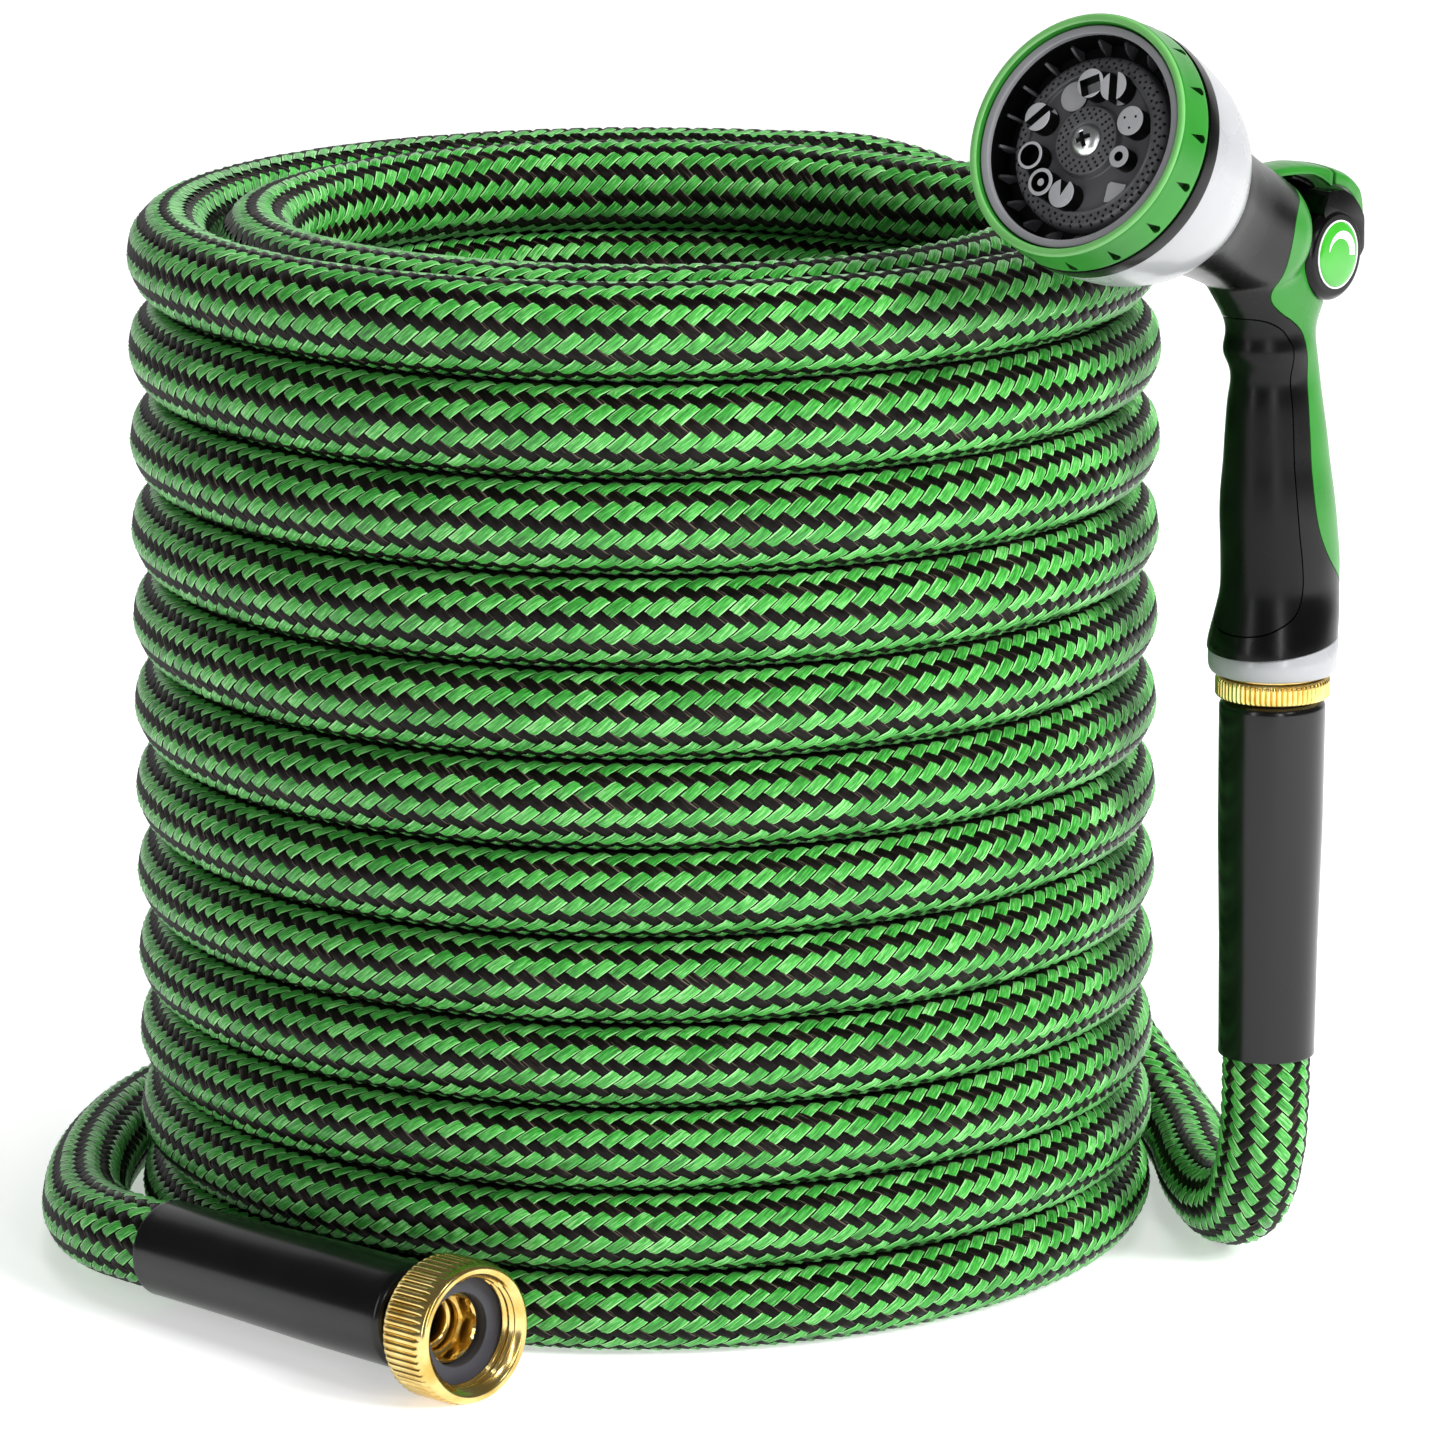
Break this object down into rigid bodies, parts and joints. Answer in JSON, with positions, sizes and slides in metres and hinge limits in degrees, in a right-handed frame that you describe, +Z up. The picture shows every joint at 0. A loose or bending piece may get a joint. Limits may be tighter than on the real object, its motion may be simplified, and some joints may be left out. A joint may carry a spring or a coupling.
{
  "type": "garden hose",
  "caption": "Braided garden hose in an upright coil, with a brass swivel coupling on one end and a hand spray nozzle on the other.",
  "frame": {"origin": "on the floor, under the middle of the whole object's box", "axes": "+Z up along the coil's axis; -Y towards the front, where the open swivel coupling faces; +X towards the nozzle's side"},
  "size_m": [0.3415, 0.3104, 0.3345],
  "materials": {
    "braid": "woven polyester braid, green and black",
    "sleeve": "gloss black",
    "brass": "bright turned and knurled",
    "washer": "matt",
    "black_plastic": "satin gloss",
    "grip": "smooth soft grip",
    "green_plastic": "satin metallic green",
    "silver": "pearl silver-white paint",
    "dial_grey": "satin grey",
    "screw": "bright plated"
  },
  "bodies": {
    "hose": {"hose_coil": "braid", "hose_upper_end": "braid", "hose_lower_end": "braid", "upper_sleeve": "sleeve", "lower_sleeve": "sleeve", "lower_tailpiece": "brass", "male_coupling": "brass", "inlet_collar": "silver", "handle_body": "black_plastic", "grip_pad": "grip", "handle_trim": "green_plastic", "head_shell": "silver", "seal_band": "black_plastic"},
    "nut": {"swivel_nut": "brass", "hose_washer": "washer"},
    "dial": {"dial_bezel": "green_plastic", "dial_liner": "dial_grey", "dial_base": "black_plastic", "face_plate": "dial_grey", "dial_screw": "screw"},
    "lever": {"lever_cap": "green_plastic", "lever_yoke": "black_plastic", "lever_button_left": "green_plastic", "lever_button_right": "green_plastic"}
  },
  "joints": [
    {"name": "nut_swivel", "type": "hinge", "parent": "hose", "child": "nut", "pos_m": [-0.0529, -0.1435, 0.01735], "axis": [0.7192, -0.6946, 0.0175], "continuous": true},
    {"name": "dial_turn", "type": "hinge", "parent": "hose", "child": "dial", "pos_m": [0.09179, -0.10767, 0.3068], "axis": [-0.5722, -0.7066, 0.4163], "continuous": true},
    {"name": "lever_tilt", "type": "hinge", "parent": "hose", "child": "lever", "pos_m": [0.1505, -0.03516, 0.2662], "axis": [-0.7771, 0.6293, 0], "range_deg": [0, 45]}
  ]
}
